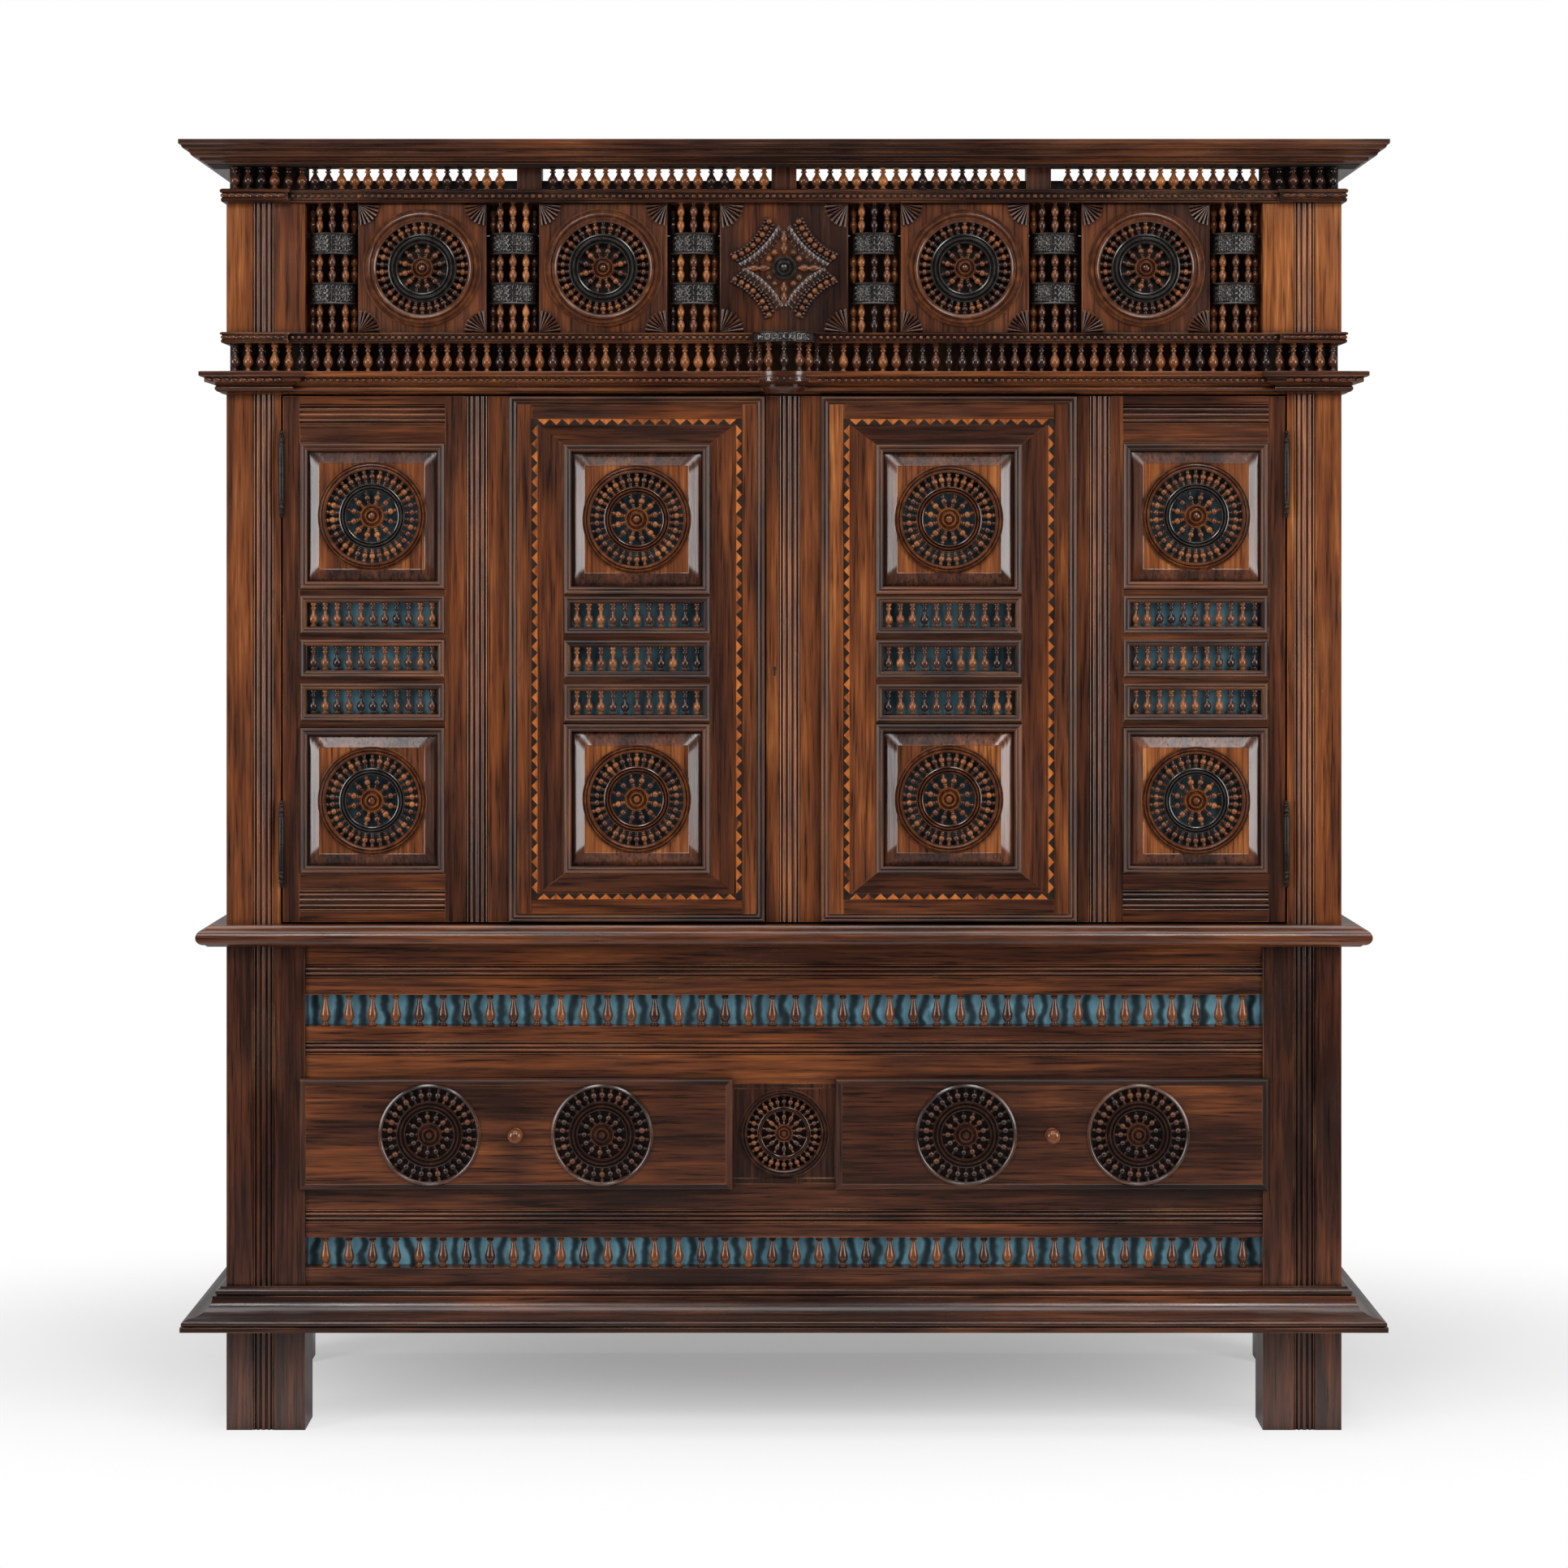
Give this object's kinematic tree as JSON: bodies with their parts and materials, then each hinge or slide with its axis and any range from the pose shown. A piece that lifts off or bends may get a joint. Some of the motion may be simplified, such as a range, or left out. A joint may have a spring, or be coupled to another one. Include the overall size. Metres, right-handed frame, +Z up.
{
  "type": "carved armoire",
  "caption": "Tall two-stage oak armoire with turned spindle galleries, carved wheel panels, inlaid frames, hinged doors over cloth, and lipped drawers in the chest below.",
  "frame": {"origin": "middle of the floor rectangle under the whole piece", "axes": "+Z up, -Y towards the doors and drawers, +X to the right as seen from the front"},
  "size_m": [1.918, 0.606, 2.06],
  "materials": {
    "dark_oak": "satin wax over dark stain",
    "inner_oak": "plain, unpolished",
    "teal_cloth": "matt woven cloth",
    "black_iron": "blackened",
    "bolt_iron": "worn bright"
  },
  "bodies": {
    "carcase": {"chest_post_left": "dark_oak", "chest_post_right": "dark_oak", "chest_side_left": "dark_oak", "chest_side_right": "dark_oak", "chest_bottom_rail": "dark_oak", "chest_lower_rail": "dark_oak", "chest_middle_rail": "dark_oak", "chest_top_rail": "dark_oak", "chest_centre_panel": "dark_oak", "chest_lower_curtain": "teal_cloth", "chest_upper_curtain": "teal_cloth", "base_moulding": "dark_oak", "drawer_bearer": "dark_oak", "waist_shelf": "dark_oak", "cabinet_post_left": "dark_oak", "cabinet_post_right": "dark_oak", "cabinet_side_left": "dark_oak", "cabinet_side_right": "dark_oak", "back_boards": "inner_oak", "inner_shelf": "dark_oak", "roof_board": "dark_oak", "lower_cornice": "dark_oak", "frieze_lower_rail": "dark_oak", "frieze_wheel_panel_1": "dark_oak", "frieze_wheel_panel_2": "dark_oak", "frieze_wheel_panel_3": "dark_oak", "frieze_wheel_panel_4": "dark_oak", "frieze_star_panel": "dark_oak", "frieze_upper_rail": "dark_oak", "cornice": "dark_oak", "left_lower_hinge_pin": "black_iron", "left_upper_hinge_pin": "black_iron", "right_lower_hinge_pin": "black_iron", "right_upper_hinge_pin": "black_iron"},
    "left_door": {"left_door_frame": "dark_oak", "left_marquetry_frame": "dark_oak", "left_door_outer_lower_panel": "dark_oak", "left_door_outer_upper_panel": "dark_oak", "left_door_inner_lower_panel": "dark_oak", "left_door_inner_upper_panel": "dark_oak", "left_door_curtain": "teal_cloth", "left_lower_hinge_sleeve": "black_iron", "left_upper_hinge_sleeve": "black_iron"},
    "right_door": {"right_door_frame": "dark_oak", "right_marquetry_frame": "dark_oak", "right_door_outer_lower_panel": "dark_oak", "right_door_outer_upper_panel": "dark_oak", "right_door_inner_lower_panel": "dark_oak", "right_door_inner_upper_panel": "dark_oak", "right_door_curtain": "teal_cloth", "right_lower_hinge_sleeve": "black_iron", "right_upper_hinge_sleeve": "black_iron", "lock_case": "black_iron"},
    "bolt": {"lock_bolt": "bolt_iron"},
    "left_drawer": {"left_drawer_front": "dark_oak", "left_drawer_box": "inner_oak", "left_drawer_knob": "dark_oak"},
    "right_drawer": {"right_drawer_front": "dark_oak", "right_drawer_box": "inner_oak", "right_drawer_knob": "dark_oak"}
  },
  "joints": [
    {"name": "left_door_hinge", "type": "hinge", "parent": "carcase", "child": "left_door", "pos_m": [-0.8045, -0.2422, 0.814], "axis": [0, 0, -1], "range_deg": [0, 110]},
    {"name": "right_door_hinge", "type": "hinge", "parent": "carcase", "child": "right_door", "pos_m": [0.8045, -0.2422, 0.814], "axis": [0, 0, 1], "range_deg": [0, 110]},
    {"name": "lock_bolt_slide", "type": "slide", "parent": "right_door", "child": "bolt", "axis": [-1, 0, 0], "range_m": [0, 0.012]},
    {"name": "left_drawer_slide", "type": "slide", "parent": "carcase", "child": "left_drawer", "axis": [0, -1, 0], "range_m": [0, 0.35]},
    {"name": "right_drawer_slide", "type": "slide", "parent": "carcase", "child": "right_drawer", "axis": [0, -1, 0], "range_m": [0, 0.35]}
  ]
}
